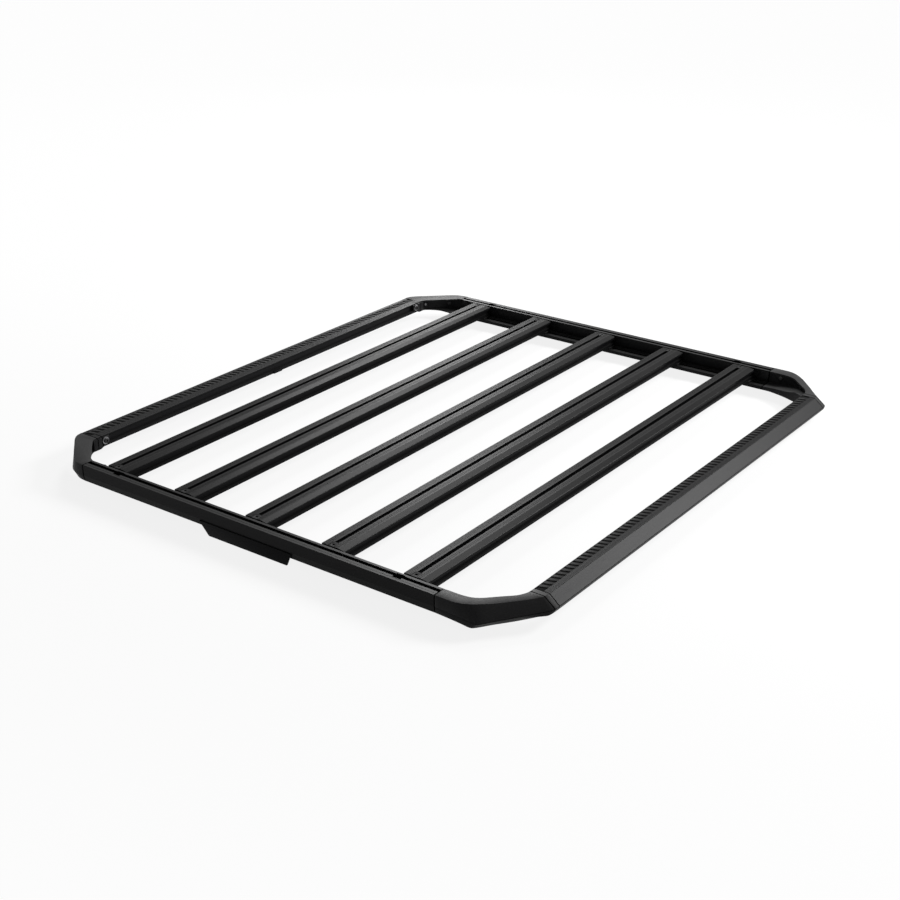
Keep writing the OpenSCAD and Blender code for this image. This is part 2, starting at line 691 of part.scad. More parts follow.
// Plate that runs from the end of a corner along the web of the side rail, over its flange
module joint_plate(end, side) {
    top = rail_h - wall - tongue_gap;
    bottom = flange_h + tongue_gap;
    upper_len = 20;
    lower_len = 34;
    edge_h = 3;
    color(cast) at_corner(end, side)
        translate([end_corner_len(end), web_u + side_tongue_t, 0]) rotate([90, 0, 0])
            linear_extrude(side_tongue_t - tongue_gap) polygon([
                [0, bottom], [lower_len, bottom], [lower_len, bottom + edge_h],
                [upper_len, top], [0, top]
            ]);
}

// Places of a corner's wall bolts: the stretch of the inner wall, how far along it the bolt is,
// and its height
function wall_bolts(end) = end == FRONT
    ? [[4, 0.95, 0.69 * rail_h], [0, 0.9, 0.7 * rail_h]]
    : [[3, 0.79, 0.65 * rail_h], [7, 0.2, 0.65 * rail_h]];

// Places a bolt on a corner's wall, with +Z out of the wall towards the middle of the rack
module at_wall_bolt(end, place) {
    wall_points = inner_wall(end, place[2]);
    p = wall_points[place[0]];
    q = wall_points[place[0] + 1];
    translate(p + (q - p) * place[1])
        rotate([0, 0, atan2(q[1] - p[1], q[0] - p[0])]) rotate([90, 0, 0]) children();
}

module at_tongue_bolt(end) {
    place = tongue_bolt(end);
    translate([tongue_d(end), end_corner_w(end) + place[0], rail_h - place[1]])
        rotate([0, 90, 0]) children();
}

module corner(end, side) {
    color(cast) at_corner(end, side) difference() {
        union() {
            corner_body(end);
            if (end == FRONT) front_tongue(); else rear_tongue();
            for (place = wall_bolts(end))
                at_wall_bolt(end, place) translate([0, 0, -root])
                    cylinder(r = wall_head_r + boss_margin, h = root + boss_h, $fn = 32);
        }
        for (place = wall_bolts(end))
            at_wall_bolt(end, place) translate([0, 0, -wall_bolt_len - cut])
                cylinder(r = bolt_r + bolt_clearance, h = wall_bolt_len + 2 * cut, $fn = 24);
        at_tongue_bolt(end) translate([0, 0, -cut])
            cylinder(r = bolt_r + bolt_clearance, h = tongue_t + 2 * cut, $fn = 24);
    }
}

// Domed head with a hexagon socket, its seat at z = 0 and its shank below
module socket_bolt(head_r, head_h, shank) {
    dome = 1;
    socket_r = head_r * 0.5;
    difference() {
        rotate_extrude($fn = 32) polygon([
            [0, -shank], [bolt_r, -shank], [bolt_r, 0], [head_r, 0], [head_r, head_h - dome],
            [head_r - dome, head_h], [0, head_h]
        ]);
        translate([0, 0, head_h / 2]) cylinder(r = socket_r, h = head_h, $fn = 6);
    }
}

module corner_bolts(end, side) {
    color(steel) at_corner(end, side) {
        for (place = wall_bolts(end))
            at_wall_bolt(end, place) translate([0, 0, boss_h])
                socket_bolt(wall_head_r, wall_head_h, wall_bolt_len - 1);
        at_tongue_bolt(end) translate([0, 0, tongue_t]) {
            cylinder(r = washer_r, h = washer_t, $fn = 48);
            translate([0, 0, washer_t])
                socket_bolt(bolt_head_r, bolt_head_h,
                            washer_t + tongue_t + behind_tongue(end) + wall);
        }
    }
}

// Side plate that hangs from the underside of a side rail, with a leg that runs inward
module side_plate(side) {
    x1 = plate_x0 + plate_len;
    top = top_z - plate_top_v;
    color(alu) mirror([0, side == LEFT ? 1 : 0, 0]) {
        translate([0, -half_w, 0]) rotate([90, 0, 0]) linear_extrude(plate_t)
            polygon([
                [plate_x0, 0], [x1 - 2, 0], [x1, 1.5], [x1 + plate_front_run, top],
                [plate_x0 - plate_rear_run, top], [plate_x0 - 2, 1.5]
            ]);
        translate([plate_x0, -half_w, plate_drop - plate_t])
            cube([plate_len, plate_leg, plate_t]);
    }
}

// Small stop on the lower lip of the rear rail, at mid-width
module rear_rail_stop() {
    stop_w = 32;
    stop_h = 6;
    stop_t = 4;
    color(rubber)
        translate([rear_top_w - half_len, -stop_w / 2, top_z - rear_inner_h])
            cube([stop_t, stop_w, stop_h]);
}

side_rail(LEFT);  // side_rail_left
side_rail(RIGHT);  // side_rail_right
front_rail();
rear_rail();
corner(FRONT, LEFT);  // corner_front_left
corner(FRONT, RIGHT);  // corner_front_right
corner(REAR, LEFT);  // corner_rear_left
corner(REAR, RIGHT);  // corner_rear_right
corner_bolts(FRONT, LEFT);  // corner_front_left_bolts
corner_bolts(FRONT, RIGHT);  // corner_front_right_bolts
corner_bolts(REAR, LEFT);  // corner_rear_left_bolts
corner_bolts(REAR, RIGHT);  // corner_rear_right_bolts
joint_plate(FRONT, LEFT);  // joint_plate_front_left
joint_plate(FRONT, RIGHT);  // joint_plate_front_right
joint_plate(REAR, LEFT);  // joint_plate_rear_left
joint_plate(REAR, RIGHT);  // joint_plate_rear_right
slat(1);  // slat_1
slat(2);  // slat_2
slat(3);  // slat_3
slat(4);  // slat_4
slat(5);  // slat_5
slat_plugs(1);  // slat_1_plugs
slat_plugs(2);  // slat_2_plugs
slat_plugs(3);  // slat_3_plugs
slat_plugs(4);  // slat_4_plugs
slat_plugs(5);  // slat_5_plugs
slat_feet(1);  // slat_1_feet
slat_feet(2);  // slat_2_feet
slat_feet(3);  // slat_3_feet
slat_feet(4);  // slat_4_feet
slat_feet(5);  // slat_5_feet
front_tread();
rear_tread();
side_plate(LEFT);  // side_plate_left
side_plate(RIGHT);  // side_plate_right
rear_rail_stop();
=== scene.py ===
"""Looks of a flat platform roof rack, built around its packed construction.

The rails and slats keep their construction and get their finishes here. The castings, joint plates,
tread strips, plugs, feet, side plates, stop and bolts are copied, get rounded edges and stand for
their plain nodes. All sizes are in metres: +X is the front of the vehicle, +Y its left and +Z up,
with the floor at zero.
"""

import logging
import math
from dataclasses import dataclass, field
from enum import Enum

import bpy
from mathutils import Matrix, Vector


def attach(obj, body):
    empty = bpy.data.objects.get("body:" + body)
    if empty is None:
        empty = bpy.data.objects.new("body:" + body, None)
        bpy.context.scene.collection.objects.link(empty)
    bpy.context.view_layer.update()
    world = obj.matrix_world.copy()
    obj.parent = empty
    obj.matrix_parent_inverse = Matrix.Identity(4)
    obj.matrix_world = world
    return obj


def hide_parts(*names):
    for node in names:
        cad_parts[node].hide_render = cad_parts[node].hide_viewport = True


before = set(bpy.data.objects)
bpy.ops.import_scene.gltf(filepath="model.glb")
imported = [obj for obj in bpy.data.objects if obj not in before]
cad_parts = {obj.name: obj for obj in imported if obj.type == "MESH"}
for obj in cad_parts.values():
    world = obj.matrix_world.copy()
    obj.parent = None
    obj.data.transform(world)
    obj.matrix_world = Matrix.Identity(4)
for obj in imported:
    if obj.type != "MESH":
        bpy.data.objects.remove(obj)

LOG = logging.getLogger("roof_rack")
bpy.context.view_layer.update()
MM = 0.001
# Corners of a copied mesh closer than this are merged, and faces this flat, in degrees, joined
MERGE_GAP = 0.01 * MM
FLAT_ANGLE = 0.5
# A face this level, by the height of its normal, is the floor of a slot or groove, painted with
# shade
LEVEL_FACING = 0.995
# Distances from the middle at which the corners end, as in the construction
REAR_JOINT_X = -525.0 * MM
FRONT_JOINT_X = 471.0 * MM
REAR_JOINT_Y = 625.0 * MM
FRONT_JOINT_Y = 611.0 * MM


class Side(Enum):
    """The two sides of the vehicle, as signs along Y."""

    RIGHT = -1
    LEFT = 1


class End(Enum):
    """The two ends of the rack, as signs along X."""

    REAR = -1
    FRONT = 1


class Grain(Enum):
    """The way a finish was formed: along an extrusion's length, or the same all ways."""

    ALONG_X = (1.0, 40.0, 40.0)
    ALONG_Y = (40.0, 1.0, 40.0)
    EVEN = (1.0, 1.0, 1.0)


def math_node(tree: bpy.types.NodeTree, operation: str,
              *values: bpy.types.NodeSocket | float) -> bpy.types.NodeSocket:
    """Adds a math node and feeds it with sockets or plain numbers.

    Args:
        tree: The node tree.
        operation: The node's operation.
        values: What goes into its inputs, in their order.

    Returns:
        The node's output socket.
    """
    node = tree.nodes.new("ShaderNodeMath")
    node.operation = operation
    for place, value in enumerate(values):
        if isinstance(value, bpy.types.NodeSocket):
            tree.links.new(value, node.inputs[place])
        else:
            node.inputs[place].default_value = value
    return node.outputs["Value"]


class NodeGroups:
    """The effects that several finishes share, each a shader node group."""

    def __init__(self) -> None:
        """Builds every group once."""
        self.pebble = self._build_pebble()
        self.draw_lines = self._build_draw_lines()
        self.dust = self._build_dust()
        self.recess = self._build_recess_shade()
        self.joint = self._build_joint_shade()

    @staticmethod
    def _new(name: str, inputs: dict[str, float], outputs: tuple[str, ...]) -> tuple:
        """Starts a group with a vector input, float inputs and float outputs.

        Args:
            name: The group's name.
            inputs: Each float input's name and default.
            outputs: The names of the float outputs.

        Returns:
            The group's tree, its input node and its output node.
        """
        tree = bpy.data.node_groups.new(name, "ShaderNodeTree")
        tree.interface.new_socket("Vector", in_out="INPUT", socket_type="NodeSocketVector")
        for label, value in inputs.items():
            socket = tree.interface.new_socket(label, in_out="INPUT", socket_type="NodeSocketFloat")
            socket.default_value = value
        for label in outputs:
            tree.interface.new_socket(label, in_out="OUTPUT", socket_type="NodeSocketFloat")
        return tree, tree.nodes.new("NodeGroupInput"), tree.nodes.new("NodeGroupOutput")

    def _build_pebble(self) -> bpy.types.NodeTree:
        """Builds the fine pebbled skin of powder coat, castings and moulded plastic.

        Returns:
            The group, which puts out a height and a mask of its high spots.
        """
        tree, given, out = self._new("pebble", {"Scale": 900.0, "Coarse": 0.3}, ("Height", "Mask"))
        fine = tree.nodes.new("ShaderNodeTexNoise")
        fine.inputs["Detail"].default_value = 2.0
        cells = tree.nodes.new("ShaderNodeTexVoronoi")
        cells.feature = "SMOOTH_F1"
        cells.inputs["Smoothness"].default_value = 0.6
        mix = tree.nodes.new("ShaderNodeMix")
        ramp = tree.nodes.new("ShaderNodeMapRange")
        ramp.inputs["From Min"].default_value = 0.3
        ramp.inputs["From Max"].default_value = 0.7
        for texture in (fine, cells):
            tree.links.new(given.outputs["Vector"], texture.inputs["Vector"])
            tree.links.new(given.outputs["Scale"], texture.inputs["Scale"])
        tree.links.new(given.outputs["Coarse"], mix.inputs["Factor"])
        tree.links.new(fine.outputs["Fac"], mix.inputs["A"])
        tree.links.new(cells.outputs["Distance"], mix.inputs["B"])
        tree.links.new(mix.outputs["Result"], out.inputs["Height"])
        tree.links.new(mix.outputs["Result"], ramp.inputs["Value"])
        tree.links.new(ramp.outputs["Result"], out.inputs["Mask"])
        return tree

    def _build_draw_lines(self) -> bpy.types.NodeTree:
        """Builds the faint lines that an extrusion die leaves, with slow changes along them.

        Returns:
            The group, which puts out a height and a mask of the lines.
        """
        tree, given, out = self._new("draw_lines", {"Scale": 60.0, "Slow": 3.0}, ("Height", "Mask"))
        lines = tree.nodes.new("ShaderNodeTexNoise")
        lines.inputs["Detail"].default_value = 4.0
        lines.inputs["Roughness"].default_value = 0.7
        slow = tree.nodes.new("ShaderNodeTexNoise")
        slow.inputs["Detail"].default_value = 1.0
        ramp = tree.nodes.new("ShaderNodeMapRange")
        ramp.inputs["From Min"].default_value = 0.35
        ramp.inputs["From Max"].default_value = 0.65
        tree.links.new(given.outputs["Vector"], lines.inputs["Vector"])
        tree.links.new(given.outputs["Scale"], lines.inputs["Scale"])
        tree.links.new(given.outputs["Vector"], slow.inputs["Vector"])
        tree.links.new(given.outputs["Slow"], slow.inputs["Scale"])
        tree.links.new(lines.outputs["Fac"], ramp.inputs["Value"])
        blend = math_node(tree, "MULTIPLY", ramp.outputs["Result"], slow.outputs["Fac"])
        tree.links.new(lines.outputs["Fac"], out.inputs["Height"])
        tree.links.new(blend, out.inputs["Mask"])
        return tree

    def _build_dust(self) -> bpy.types.NodeTree:
        """Builds a thin film of dust that settles on faces turned up.

        Returns:
            The group, which puts out one mask.
        """
        tree, given, out = self._new("dust", {"Scale": 9.0, "Amount": 0.3}, ("Mask",))
        cloud = tree.nodes.new("ShaderNodeTexNoise")
        cloud.inputs["Detail"].default_value = 6.0
        cloud.inputs["Roughness"].default_value = 0.65
        geometry = tree.nodes.new("ShaderNodeNewGeometry")
        split = tree.nodes.new("ShaderNodeSeparateXYZ")
        turned_up = tree.nodes.new("ShaderNodeMapRange")
        turned_up.inputs["From Min"].default_value = 0.4
        turned_up.inputs["From Max"].default_value = 1.0
        tree.links.new(given.outputs["Vector"], cloud.inputs["Vector"])
        tree.links.new(given.outputs["Scale"], cloud.inputs["Scale"])
        tree.links.new(geometry.outputs["Normal"], split.inputs["Vector"])
        tree.links.new(split.outputs["Z"], turned_up.inputs["Value"])
        patchy = math_node(tree, "MULTIPLY", turned_up.outputs["Result"], cloud.outputs["Fac"])
        film = math_node(tree, "MULTIPLY", patchy, given.outputs["Amount"])
        tree.links.new(film, out.inputs["Mask"])
        return tree

    def _build_recess_shade(self) -> bpy.types.NodeTree:
        """Builds the mask of painted shade: the level floors of slots and grooves, painted dark and
        dull.

        Returns:
            The group, which puts out one mask: level faces between two heights.
        """
        tree, given, out = self._new("recess", {"Low": 0.040, "High": 0.0572}, ("Mask",))
        height = tree.nodes.new("ShaderNodeSeparateXYZ")
        geometry = tree.nodes.new("ShaderNodeNewGeometry")
        facing = tree.nodes.new("ShaderNodeSeparateXYZ")
        tree.links.new(given.outputs["Vector"], height.inputs["Vector"])
        tree.links.new(geometry.outputs["True Normal"], facing.inputs["Vector"])
        above = math_node(tree, "GREATER_THAN", height.outputs["Z"], given.outputs["Low"])
        below = math_node(tree, "LESS_THAN", height.outputs["Z"], given.outputs["High"])
        level = math_node(tree, "GREATER_THAN", facing.outputs["Z"], LEVEL_FACING)
        between = math_node(tree, "MULTIPLY", above, below)
        tree.links.new(math_node(tree, "MULTIPLY", between, level), out.inputs["Mask"])
        return tree

    def _build_joint_shade(self) -> bpy.types.NodeTree:
        """Builds the mask of painted shade in the joints between rails and corners.

        Returns:
            The group, which puts out one mask: thin bands at the joint planes. The bands across
            the end rails are laid at both ends, whichever end they belong to.
        """
        tree, given, out = self._new("joint", {"Reach": 0.0013}, ("Mask",))
        split = tree.nodes.new("ShaderNodeSeparateXYZ")
        tree.links.new(given.outputs["Vector"], split.inputs["Vector"])
        along = split.outputs["X"]
        across = math_node(tree, "ABSOLUTE", split.outputs["Y"])
        bands = [math_node(tree, "COMPARE", source, plane, given.outputs["Reach"])
                 for source, plane in ((along, REAR_JOINT_X), (along, FRONT_JOINT_X),
                                       (across, REAR_JOINT_Y), (across, FRONT_JOINT_Y))]
        mask = bands[0]
        for band in bands[1:]:
            mask = math_node(tree, "MAXIMUM", mask, band)
        tree.links.new(mask, out.inputs["Mask"])
        return tree


@dataclass(frozen=True)
class Finish:
    """A surface finish: its colour and gloss, its skin, its lines and its film of dust.

    Where recess or joint is set, the floors of slots or the edges of joints are painted with shade:
    they take the shade colour and lose the share of their shine that dulling gives.
    """

    name: str
    color: tuple[float, float, float]
    roughness: float
    specular: float
    metallic: float = 0.0
    grain: Grain = Grain.EVEN
    pebble_scale: float = 900.0
    pebble_coarse: float = 0.3
    pebble_depth: float = 0.00003
    line_scale: float = 60.0
    line_depth: float = 0.0
    roughness_swing: float = 0.08
    tone_swing: float = 0.35
    dust: float = 0.25
    dust_color: tuple[float, float, float] = (0.035, 0.0345, 0.033)
    recess: bool = False
    joint: bool = False
    dulling: float = 1.0
    # The colour painted as shade on slot floors and joint edges
    painted_shade_color: tuple[float, float, float] = (0.0015, 0.0015, 0.0015)

    def material(self, groups: NodeGroups) -> bpy.types.Material:
        """Builds the finish as a material.

        Args:
            groups: The shared effects.

        Returns:
            The material.
        """
        material = bpy.data.materials.new(self.name)
        material.use_nodes = True
        nodes, links = material.node_tree.nodes, material.node_tree.links
        shader = nodes["Principled BSDF"]
        shader.inputs["Specular IOR Level"].default_value = self.specular
        shader.inputs["Metallic"].default_value = self.metallic
        place = nodes.new("ShaderNodeTexCoord")
        stretch = nodes.new("ShaderNodeMapping")
        stretch.inputs["Scale"].default_value = self.grain.value
        pebble = self._group(nodes, groups.pebble)
        pebble.inputs["Scale"].default_value = self.pebble_scale
        pebble.inputs["Coarse"].default_value = self.pebble_coarse
        lines = self._group(nodes, groups.draw_lines)
        lines.inputs["Scale"].default_value = self.line_scale
        dust = self._group(nodes, groups.dust)
        dust.inputs["Amount"].default_value = self.dust
        links.new(place.outputs["Object"], stretch.inputs["Vector"])
        links.new(stretch.outputs["Vector"], lines.inputs["Vector"])
        for group in (pebble, dust):
            links.new(place.outputs["Object"], group.inputs["Vector"])
        self._colour(nodes, links, shader, pebble, lines, dust)
        self._roughness(nodes, links, shader, pebble, lines)
        self._relief(nodes, links, shader, pebble, lines)
        self._dull(nodes, links, shader, place, [
            self._group(nodes, effect) for effect, wanted in
            ((groups.recess, self.recess), (groups.joint, self.joint)) if wanted])
        return material

    @staticmethod
    def _group(nodes: bpy.types.Nodes, tree: bpy.types.NodeTree) -> bpy.types.Node:
        """Places a shared effect in a material and returns its node."""
        node = nodes.new("ShaderNodeGroup")
        node.node_tree = tree
        return node

    def _colour(self, nodes: bpy.types.Nodes, links: bpy.types.NodeLinks, shader: bpy.types.Node,
                pebble: bpy.types.Node, lines: bpy.types.Node, dust: bpy.types.Node) -> None:
        """Varies the base colour by the skin and the lines, and lays the dust over it.

        Args:
            nodes: The material's nodes.
            links: The material's links.
            shader: The surface shader.
            pebble: The skin's group node.
            lines: The lines' group node.
            dust: The dust's group node.
        """
        deep = tuple(value * (1.0 - self.tone_swing) for value in self.color)
        high = tuple(value * (1.0 + self.tone_swing) for value in self.color)
        tone = nodes.new("ShaderNodeMix")
        tone.data_type = "RGBA"
        tone.inputs["A"].default_value = (*deep, 1.0)
        tone.inputs["B"].default_value = (*high, 1.0)
        source = lines if self.line_depth > 0.0 else pebble
        links.new(source.outputs["Mask"], tone.inputs["Factor"])
        film = nodes.new("ShaderNodeMix")
        film.data_type = "RGBA"
        film.inputs["B"].default_value = (*self.dust_color, 1.0)
        links.new(dust.outputs["Mask"], film.inputs["Factor"])
        links.new(tone.outputs["Result"], film.inputs["A"])
        links.new(film.outputs["Result"], shader.inputs["Base Color"])

    def _roughness(self, nodes: bpy.types.Nodes, links: bpy.types.NodeLinks,
                   shader: bpy.types.Node, pebble: bpy.types.Node, lines: bpy.types.Node) -> None:
        """Varies the roughness round its middle value.

        Args:
            nodes: The material's nodes.
            links: The material's links.
            shader: The surface shader.
            pebble: The skin's group node.
            lines: The lines' group node.
        """
        spread = nodes.new("ShaderNodeMapRange")
        spread.inputs["To Min"].default_value = self.roughness - self.roughness_swing
        spread.inputs["To Max"].default_value = self.roughness + self.roughness_swing
        source = lines if self.line_depth > 0.0 else pebble
        links.new(source.outputs["Mask"], spread.inputs["Value"])
        links.new(spread.outputs["Result"], shader.inputs["Roughness"])

    def _relief(self, nodes: bpy.types.Nodes, links: bpy.types.NodeLinks,
                shader: bpy.types.Node, pebble: bpy.types.Node, lines: bpy.types.Node) -> None:
        """Lays the skin's relief over that of the lines.

        Args:
            nodes: The material's nodes.
            links: The material's links.
            shader: The surface shader.
            pebble: The skin's group node.
            lines: The lines' group node.
        """
        skin = nodes.new("ShaderNodeBump")
        skin.inputs["Distance"].default_value = self.pebble_depth
        links.new(pebble.outputs["Height"], skin.inputs["Height"])
        if self.line_depth > 0.0:
            drawn = nodes.new("ShaderNodeBump")
            drawn.inputs["Distance"].default_value = self.line_depth
            links.new(lines.outputs["Height"], drawn.inputs["Height"])
            links.new(drawn.outputs["Normal"], skin.inputs["Normal"])
        links.new(skin.outputs["Normal"], shader.inputs["Normal"])

    def _dull(self, nodes: bpy.types.Nodes, links: bpy.types.NodeLinks, shader: bpy.types.Node,
              place: bpy.types.Node, masks: list[bpy.types.Node]) -> None:
        """Paints shade into the floors of slots and the edges of joints: a dark colour and less
        shine.

        Args:
            nodes: The material's nodes.
            links: The material's links.
            shader: The surface shader.
            place: The texture coordinates.
            masks: The group nodes that say where.
        """
        shine = None
        for mask in masks:
            colour = nodes.new("ShaderNodeMix")
            colour.data_type = "RGBA"
            colour.inputs["B"].default_value = (*self.painted_shade_color, 1.0)
            level = nodes.new("ShaderNodeMapRange")
            level.inputs["To Min"].default_value = self.specular
            level.inputs["To Max"].default_value = self.specular * (1.0 - self.dulling)
            links.new(place.outputs["Object"], mask.inputs["Vector"])
            links.new(mask.outputs["Mask"], colour.inputs["Factor"])
            links.new(shader.inputs["Base Color"].links[0].from_socket, colour.inputs["A"])
            links.new(colour.outputs["Result"], shader.inputs["Base Color"])
            links.new(mask.outputs["Mask"], level.inputs["Value"])
            if shine is not None:
                links.new(shine.outputs["Result"], level.inputs["To Min"])
            shine = level
        if shine is not None:
            links.new(shine.outputs["Result"], shader.inputs["Specular IOR Level"])


class Finishes:
    """Every finish on the rack, as a material under a plain name."""

    def __init__(self) -> None:
        """Builds the shared effects and the materials."""
        groups = NodeGroups()
        # The rails' and slats' slot floors are painted with shade
        drawn = {"line_depth": 0.000002, "pebble_depth": 0.000001, "roughness_swing": 0.03,
                 "tone_swing": 0.2, "recess": True}
        # The rails are painted with shade at their joints
        side = Finish("side_rail_anodise", (0.012, 0.012, 0.0125), 0.38, 0.047,
                      grain=Grain.ALONG_X, joint=True, **drawn)
        end = Finish("end_rail_anodise", (0.010, 0.010, 0.0105), 0.38, 0.032,
                     grain=Grain.ALONG_Y, joint=True, **drawn)
        slat = Finish("slat_anodise", (0.005, 0.005, 0.0053), 0.38, 0.028,
                      grain=Grain.ALONG_Y, **drawn)
        # The castings are painted with shade at their joints
        cast = Finish("casting_coat", (0.014, 0.014, 0.0145), 0.44, 0.055, joint=True,
                      pebble_scale=700.0, pebble_coarse=0.5, pebble_depth=0.00010)
        # The tread's groove floors are painted with a lighter shade, with half their shine taken
        # off
        tread = Finish("tread_rubber", (0.010, 0.010, 0.0102), 0.55, 0.04,
                       pebble_scale=1200.0, pebble_depth=0.00005, recess=True, dulling=0.5,
                       painted_shade_color=(0.006, 0.006, 0.006))
        plastic = Finish("moulded_plastic", (0.006, 0.006, 0.0065), 0.5, 0.04,
                         pebble_scale=1000.0, pebble_depth=0.00004)
        foot = Finish("foot_coat", (0.006, 0.006, 0.0062), 0.45, 0.05, pebble_scale=800.0)
        steel = Finish("zinc_steel", (0.22, 0.22, 0.225), 0.34, 0.5, metallic=1.0,
                       pebble_scale=500.0, tone_swing=0.12, dust=0.05)
        black_steel = Finish("black_steel", (0.012, 0.012, 0.0125), 0.28, 0.25,
                             pebble_scale=500.0, dust=0.02)
        self.side = side.material(groups)
        self.end = end.material(groups)
        self.slat = slat.material(groups)
        self.cast = cast.material(groups)
        self.tread = tread.material(groups)
        self.plastic = plastic.material(groups)
        self.foot = foot.material(groups)
        self.steel = steel.material(groups)
        self.black_steel = black_steel.material(groups)


class Bench:
    """The workbench: the few moves that every modelled piece is made with."""

    @staticmethod
    def clear() -> None:
        """Deselects every object."""
        bpy.ops.object.select_all(action="DESELECT")

    @staticmethod
    def pick(piece: bpy.types.Object) -> None:
        """Selects one object alone and makes it the active one."""
        Bench.clear()
        piece.select_set(True)
        bpy.context.view_layer.objects.active = piece

    @staticmethod
    def copy_of(node: str, name: str) -> bpy.types.Object:
        """Copies a construction node with its own mesh, its corners merged and faces joined.

        Args:
            node: The construction node.
            name: The new piece's name.

        Returns:
            The copy.
        """
        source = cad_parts[node]
        piece = bpy.data.objects.new(name, source.data.copy())
        bpy.context.scene.collection.objects.link(piece)
        piece.data.materials.clear()
        Bench.pick(piece)
        bpy.ops.object.mode_set(mode="EDIT")
        bpy.ops.mesh.select_all(action="SELECT")
        bpy.ops.mesh.remove_doubles(threshold=MERGE_GAP)
        bpy.ops.mesh.dissolve_limited(angle_limit=math.radians(FLAT_ANGLE))
        bpy.ops.object.mode_set(mode="OBJECT")
        return piece

    @staticmethod
    def soften(piece: bpy.types.Object, width: float, segments: int = 2,
               angle: float = 30.0) -> None:
        """Rounds a piece's edges and shades it smooth between them.

        Args:
            piece: The piece.
            width: The bevel's width.
            segments: The number of faces round an edge.
            angle: The least angle between faces, in degrees, at which an edge is rounded.
        """
        Bench.pick(piece)
        bevel = piece.modifiers.new("edges", "BEVEL")
        bevel.width = width
        bevel.segments = segments
        bevel.limit_method = "ANGLE"
        bevel.angle_limit = math.radians(angle)
        bevel.harden_normals = False
        bpy.ops.object.modifier_apply(modifier=bevel.name)
        bpy.ops.object.shade_smooth_by_angle(angle=math.radians(angle))

    @staticmethod
    def finish(piece: bpy.types.Object, material: bpy.types.Material, slot: str,
               *nodes: str) -> None:
        """Gives a piece its finish and says what it stands for.

        Args:
            piece: The piece.
            material: Its finish.
            slot: The record's material slot; not used.
            nodes: The construction nodes that it stands for.
        """
        piece.data.materials.clear()
        piece.data.materials.append(material)
        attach(piece, "root")
        if nodes:
            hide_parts(*nodes)
        LOG.info("%s: %d faces", piece.name, len(piece.data.polygons))


@dataclass
class Extrusions:
    """The rails and slats, which keep their construction and get their finish."""

    finishes: Finishes
    slat_count: int = 5

    def dress(self) -> None:
        """Gives every rail and slat its material."""
        for side in Side:
            self._coat(f"side_rail_{side.name.lower()}", self.finishes.side)
        for end in End:
            self._coat(f"{end.name.lower()}_rail", self.finishes.end)
        for number in range(1, self.slat_count + 1):
            self._coat(f"slat_{number}", self.finishes.slat)

    @staticmethod
    def _coat(node: str, material: bpy.types.Material) -> None:
        """Puts a finish on a construction node.

        Args:
            node: The node's name.
            material: The finish.
        """
        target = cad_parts[node]
        for index in range(max(1, len(target.material_slots))):
            if index >= len(target.material_slots):
                target.data.materials.append(material)
            target.material_slots[index].link = "OBJECT"
            target.material_slots[index].material = material
        LOG.info("%s dressed", node)


@dataclass
class Castings:
    """The four corner castings, with rounded edges and a pebbled coat; crease is in degrees."""

    finishes: Finishes
    edge: float = 1.2 * MM
    segments: int = 3
    crease: float = 28.0

    def build(self) -> None:
        """Models every corner."""
        for end in End:
            for side in Side:
                name = f"corner_{end.name.lower()}_{side.name.lower()}"
                piece = Bench.copy_of(name, f"{name}_casting")
                Bench.soften(piece, self.edge, self.segments, self.crease)
                Bench.finish(piece, self.finishes.cast, "corners", name)


@dataclass
class SmallParts:
    """The tread strips, plugs, feet, plates, stop and bolts, with rounded edges.

    washer_span is the stretch along X that each end's washers take up.
    """

    finishes: Finishes
    slat_count: int = 5
    washer_span: dict[End, tuple[float, float]] = field(default_factory=lambda: {
        End.REAR: (-609.9 * MM, -608.2 * MM), End.FRONT: (616.4 * MM, 618.0 * MM)})

    def build(self) -> None:
        """Models every small part around its construction node."""
        for end in End:
            name = f"{end.name.lower()}_tread"
            self._soft(name, 0.5 * MM, self.finishes.tread, "tread")
        for number in range(1, self.slat_count + 1):
            self._soft(f"slat_{number}_plugs", 0.5 * MM, self.finishes.plastic, "plugs")
            self._soft(f"slat_{number}_feet", 0.6 * MM, self.finishes.foot, "feet")
        for side in Side:
            self._soft(f"side_plate_{side.name.lower()}", 0.6 * MM, self.finishes.plastic,
                       "side_plates")
        self._soft("rear_rail_stop", 0.8 * MM, self.finishes.plastic, "plugs")
        for end in End:
            for side in Side:
                self._joint_plate(end, side)
                self._bolts(end, side)

    def _joint_plate(self, end: End, side: Side) -> None:
        """Models the plate that laps a side rail at a corner."""
        name = f"joint_plate_{end.name.lower()}_{side.name.lower()}"
        self._soft(name, 0.8 * MM, self.finishes.cast, "corners")

    def _bolts(self, end: End, side: Side) -> None:
        """Models a corner's bolts: black heads, and a plated washer on the tongue.

        Args:
            end: The corner's end.
            side: The corner's side.
        """
        name = f"corner_{end.name.lower()}_{side.name.lower()}_bolts"
        piece = self._soft(name, 0.3 * MM, self.finishes.black_steel, "bolts")
        piece.data.materials.append(self.finishes.steel)
        near, far = self.washer_span[end]
        for face in piece.data.polygons:
            if near <= face.center.x <= far:
                face.material_index = 1

    def _soft(self, node: str, edge: float, material: bpy.types.Material,
              slot: str) -> bpy.types.Object:
        """Models one part from its node, with rounded edges.

        Args:
            node: The construction node.
            edge: The bevel's width.
            material: The part's finish.
            slot: The record's material slot.

        Returns:
            The part.
        """
        piece = Bench.copy_of(node, f"{node}_part")
        Bench.soften(piece, edge)
        Bench.finish(piece, material, slot, node)
        return piece


